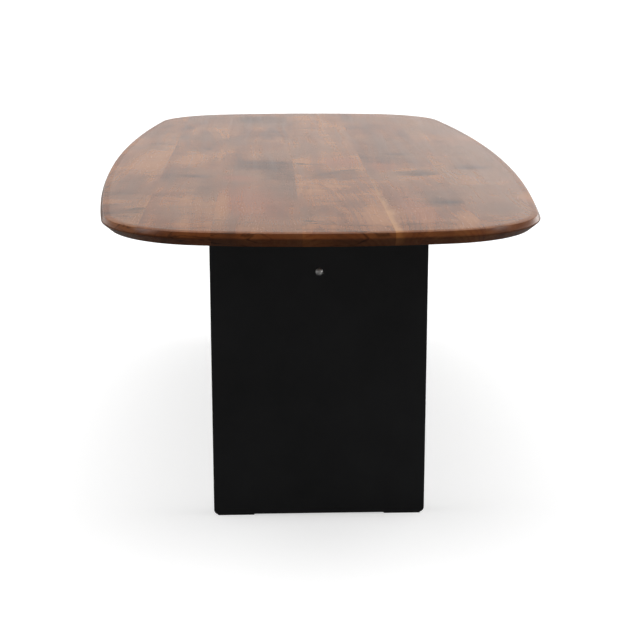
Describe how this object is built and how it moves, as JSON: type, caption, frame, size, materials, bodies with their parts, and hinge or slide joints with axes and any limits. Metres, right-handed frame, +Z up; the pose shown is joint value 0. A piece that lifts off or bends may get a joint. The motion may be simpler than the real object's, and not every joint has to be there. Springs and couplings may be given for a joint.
{
  "type": "dining table",
  "caption": "Barrel-shaped solid walnut table with a bevelled edge, on two flat black steel leg panels joined by a stretcher.",
  "frame": {"origin": "on the floor below the middle of the tabletop", "axes": "+X across the table, +Y along it towards the rear end, +Z up"},
  "size_m": [1.0796, 2.4, 0.76],
  "materials": {
    "walnut": "oiled, satin",
    "beech": "bare, planed",
    "black_powder_coat": "fine-textured matte powder coat",
    "stainless_steel": "turned, satin",
    "zinc_plated_steel": "bright zinc plate",
    "black_nylon": "moulded, fine grain"
  },
  "bodies": {
    "root": {"channel_front": "black_powder_coat", "channel_inserts_front": "zinc_plated_steel", "channel_inserts_rear": "zinc_plated_steel", "channel_rear": "black_powder_coat", "channel_screws_front": "zinc_plated_steel", "channel_screws_rear": "zinc_plated_steel", "crush_sleeve_front": "zinc_plated_steel", "crush_sleeve_rear": "zinc_plated_steel", "glide_left_front": "black_nylon", "glide_left_rear": "black_nylon", "glide_right_front": "black_nylon", "glide_right_rear": "black_nylon", "leg_panel_cover_front": "black_powder_coat", "leg_panel_cover_rear": "black_powder_coat", "leg_panel_ribs_front": "black_powder_coat", "leg_panel_ribs_rear": "black_powder_coat", "leg_panel_shell_front": "black_powder_coat", "leg_panel_shell_rear": "black_powder_coat", "locating_pins_front": "zinc_plated_steel", "locating_pins_rear": "zinc_plated_steel", "mounting_inserts_front": "zinc_plated_steel", "mounting_inserts_rear": "zinc_plated_steel", "mounting_plate_front": "black_powder_coat", "mounting_plate_rear": "black_powder_coat", "mounting_screws_front": "zinc_plated_steel", "mounting_screws_rear": "zinc_plated_steel", "mounting_washers_front": "zinc_plated_steel", "mounting_washers_rear": "zinc_plated_steel", "plank_1": "walnut", "plank_2": "walnut", "plank_3": "walnut", "plank_4": "walnut", "plank_5": "walnut", "plank_6": "walnut", "stretcher_bolt_front": "stainless_steel", "stretcher_bolt_rear": "stainless_steel", "stretcher_end_plate_front": "black_powder_coat", "stretcher_end_plate_rear": "black_powder_coat", "stretcher_tube": "black_powder_coat", "tenons_glue_line_1": "beech", "tenons_glue_line_2": "beech", "tenons_glue_line_3": "beech", "tenons_glue_line_4": "beech", "tenons_glue_line_5": "beech"}
  },
  "joints": []
}
